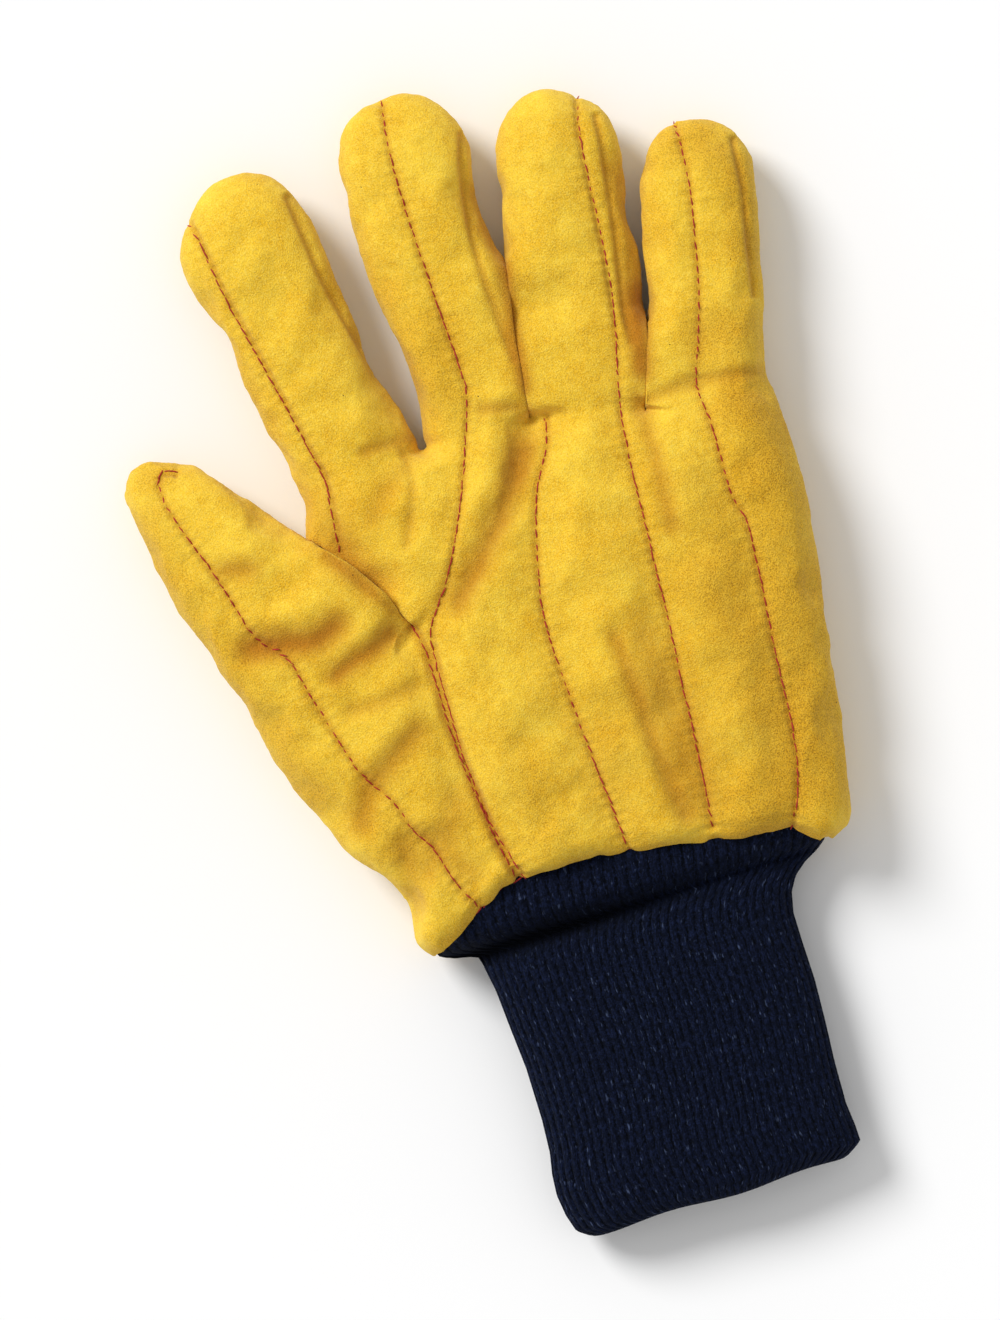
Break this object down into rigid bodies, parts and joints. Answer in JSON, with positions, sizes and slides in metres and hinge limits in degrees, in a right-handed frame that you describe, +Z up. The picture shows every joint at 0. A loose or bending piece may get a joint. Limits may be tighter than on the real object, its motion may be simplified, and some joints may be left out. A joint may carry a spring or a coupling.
{
  "type": "quilted cotton work glove",
  "caption": "Left-hand quilted cotton-fleece work glove with a rib-knit wrist, lying palm up; its fingers, thumb and wrist bend.",
  "frame": {"origin": "on the floor, under the middle of the glove's box", "axes": "+Z up out of the palm, +Y from the wrist to the fingertips, thumb at -X"},
  "size_m": [0.169, 0.2778, 0.0265],
  "materials": {
    "fleece": "napped cotton fleece",
    "lining": "soft flannel",
    "thread": "cotton thread",
    "knit": "rib knit"
  },
  "bodies": {
    "hand": {"hand_front_panel": "fleece", "hand_back_panel": "fleece", "hand_lining": "lining", "knit_band": "knit", "wrist_seam_thread": "thread", "palm_quilting_middle": "thread", "palm_quilting_ring": "thread", "palm_quilting_ring_side": "thread", "palm_quilting_little": "thread"},
    "index_lower": {"index_lower_front_panel": "fleece", "index_lower_back_panel": "fleece", "index_lower_lining": "lining", "index_lower_quilting": "thread"},
    "index_upper": {"index_upper_front_panel": "fleece", "index_upper_back_panel": "fleece", "index_upper_lining": "lining", "index_upper_quilting": "thread"},
    "middle_lower": {"middle_lower_front_panel": "fleece", "middle_lower_back_panel": "fleece", "middle_lower_lining": "lining", "middle_lower_quilting": "thread"},
    "middle_upper": {"middle_upper_front_panel": "fleece", "middle_upper_back_panel": "fleece", "middle_upper_lining": "lining", "middle_upper_quilting": "thread"},
    "ring_lower": {"ring_lower_front_panel": "fleece", "ring_lower_back_panel": "fleece", "ring_lower_lining": "lining", "ring_lower_quilting": "thread"},
    "ring_upper": {"ring_upper_front_panel": "fleece", "ring_upper_back_panel": "fleece", "ring_upper_lining": "lining", "ring_upper_quilting": "thread"},
    "little_lower": {"little_lower_front_panel": "fleece", "little_lower_back_panel": "fleece", "little_lower_lining": "lining", "little_lower_quilting": "thread"},
    "little_upper": {"little_upper_front_panel": "fleece", "little_upper_back_panel": "fleece", "little_upper_lining": "lining", "little_upper_quilting": "thread"},
    "thumb": {"thumb_front_panel": "fleece", "thumb_back_panel": "fleece", "thumb_lining": "lining", "thumb_seam_thread": "thread", "thumb_quilting": "thread"},
    "thumb_tip": {"thumb_tip_front_panel": "fleece", "thumb_tip_back_panel": "fleece", "thumb_tip_lining": "lining", "thumb_tip_quilting": "thread"},
    "cuff": {"knit_cuff": "knit"}
  },
  "joints": [
    {"name": "index_knuckle", "type": "hinge", "parent": "hand", "child": "index_lower", "pos_m": [-0.02853, 0.06688, 0.0222], "axis": [0.9869, 0.1616, 0], "range_deg": [0, 70]},
    {"name": "index_mid_bend", "type": "hinge", "parent": "index_lower", "child": "index_upper", "pos_m": [-0.0337, 0.09846, 0.0222], "axis": [0.9869, 0.1616, 0], "range_deg": [0, 75]},
    {"name": "middle_knuckle", "type": "hinge", "parent": "hand", "child": "middle_lower", "pos_m": [0.00306, 0.067, 0.0222], "axis": [0.9998, -0.0175, 0], "range_deg": [0, 70]},
    {"name": "middle_mid_bend", "type": "hinge", "parent": "middle_lower", "child": "middle_upper", "pos_m": [0.00365, 0.10099, 0.0222], "axis": [0.9998, -0.0175, 0], "range_deg": [0, 75]},
    {"name": "ring_knuckle", "type": "hinge", "parent": "hand", "child": "ring_lower", "pos_m": [0.03262, 0.06589, 0.0222], "axis": [0.9869, -0.1616, 0], "range_deg": [0, 70]},
    {"name": "ring_mid_bend", "type": "hinge", "parent": "ring_lower", "child": "ring_upper", "pos_m": [0.03762, 0.09649, 0.0222], "axis": [0.9869, -0.1616, 0], "range_deg": [0, 75]},
    {"name": "little_knuckle", "type": "hinge", "parent": "hand", "child": "little_lower", "pos_m": [0.06166, 0.0614, 0.0222], "axis": [0.9724, -0.2334, 0], "range_deg": [0, 70]},
    {"name": "little_mid_bend", "type": "hinge", "parent": "little_lower", "child": "little_upper", "pos_m": [0.06785, 0.08717, 0.0222], "axis": [0.9724, -0.2334, 0], "range_deg": [0, 75]},
    {"name": "thumb_seam_bend", "type": "hinge", "parent": "hand", "child": "thumb", "pos_m": [-0.0255, -0.0195, 0.0262], "axis": [0, 1, 0], "range_deg": [0, 45]},
    {"name": "thumb_tip_bend", "type": "hinge", "parent": "thumb", "child": "thumb_tip", "pos_m": [-0.06485, 0.04357, 0.0252], "axis": [0.8961, 0.4439, 0], "range_deg": [0, 50]},
    {"name": "wrist_bend", "type": "hinge", "parent": "hand", "child": "cuff", "pos_m": [0.004, -0.066, 0.0192], "axis": [-1, 0, 0], "range_deg": [0, 60]}
  ]
}
